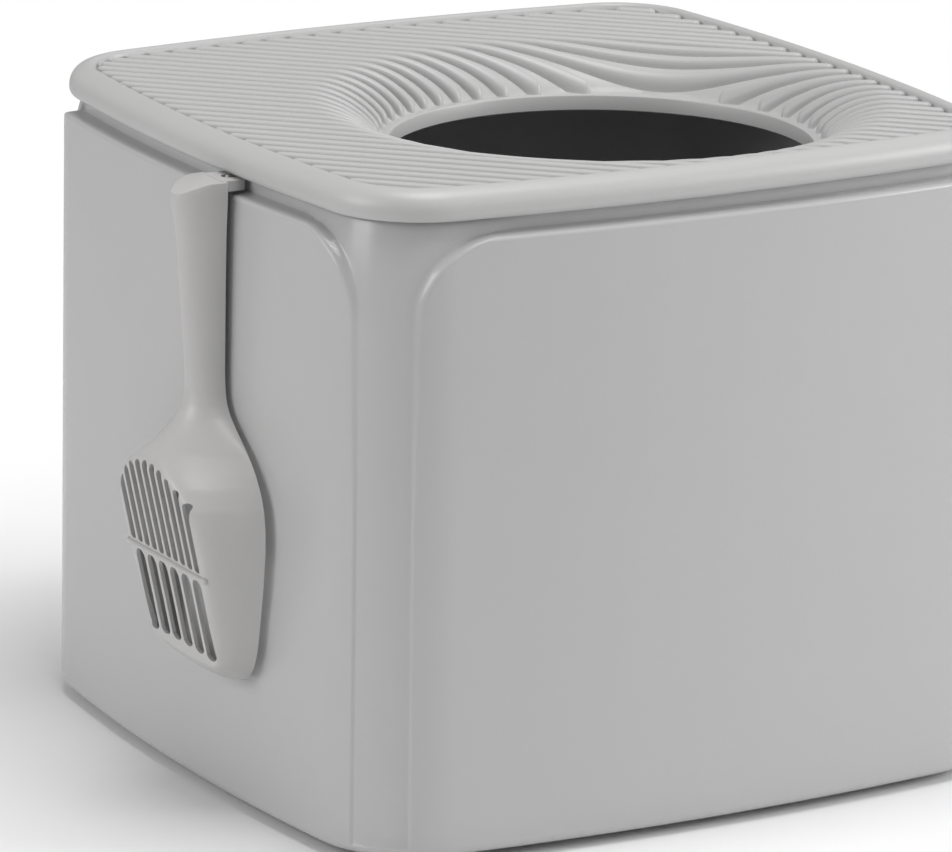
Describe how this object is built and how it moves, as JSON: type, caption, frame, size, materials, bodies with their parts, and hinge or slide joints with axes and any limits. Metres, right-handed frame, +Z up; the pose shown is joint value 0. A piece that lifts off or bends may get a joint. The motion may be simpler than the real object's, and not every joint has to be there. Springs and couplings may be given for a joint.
{
  "type": "top entry litter box",
  "caption": "Square plastic bucket with raised side panels, a ribbed lid with a round funnel-shaped entry hole, rubber feet and a slotted scoop hung on one wall.",
  "frame": {"origin": "middle of the part's bounding box, on the floor", "axes": "+X away from the wall that carries the scoop, +Y from the front wall to the back wall, +Z up"},
  "size_m": [0.4771, 0.4358, 0.37],
  "materials": {
    "shell": "satin light grey moulded plastic",
    "scoop_plastic": "satin warm light grey moulded plastic",
    "foot_rubber": "matte dark rubber"
  },
  "bodies": {
    "box": {"tub": "shell", "foot_front_left": "foot_rubber", "foot_front_right": "foot_rubber", "foot_back_left": "foot_rubber", "foot_back_right": "foot_rubber"},
    "lid": {"lid": "shell"},
    "scoop": {"scoop": "scoop_plastic"}
  },
  "joints": [
    {"name": "lid_lift", "type": "slide", "parent": "box", "child": "lid", "axis": [0, 0, 1], "range_m": [0, 0.2]},
    {"name": "scoop_unhook", "type": "slide", "parent": "box", "child": "scoop", "axis": [-1, 0, 0], "range_m": [0, 0.1]}
  ]
}
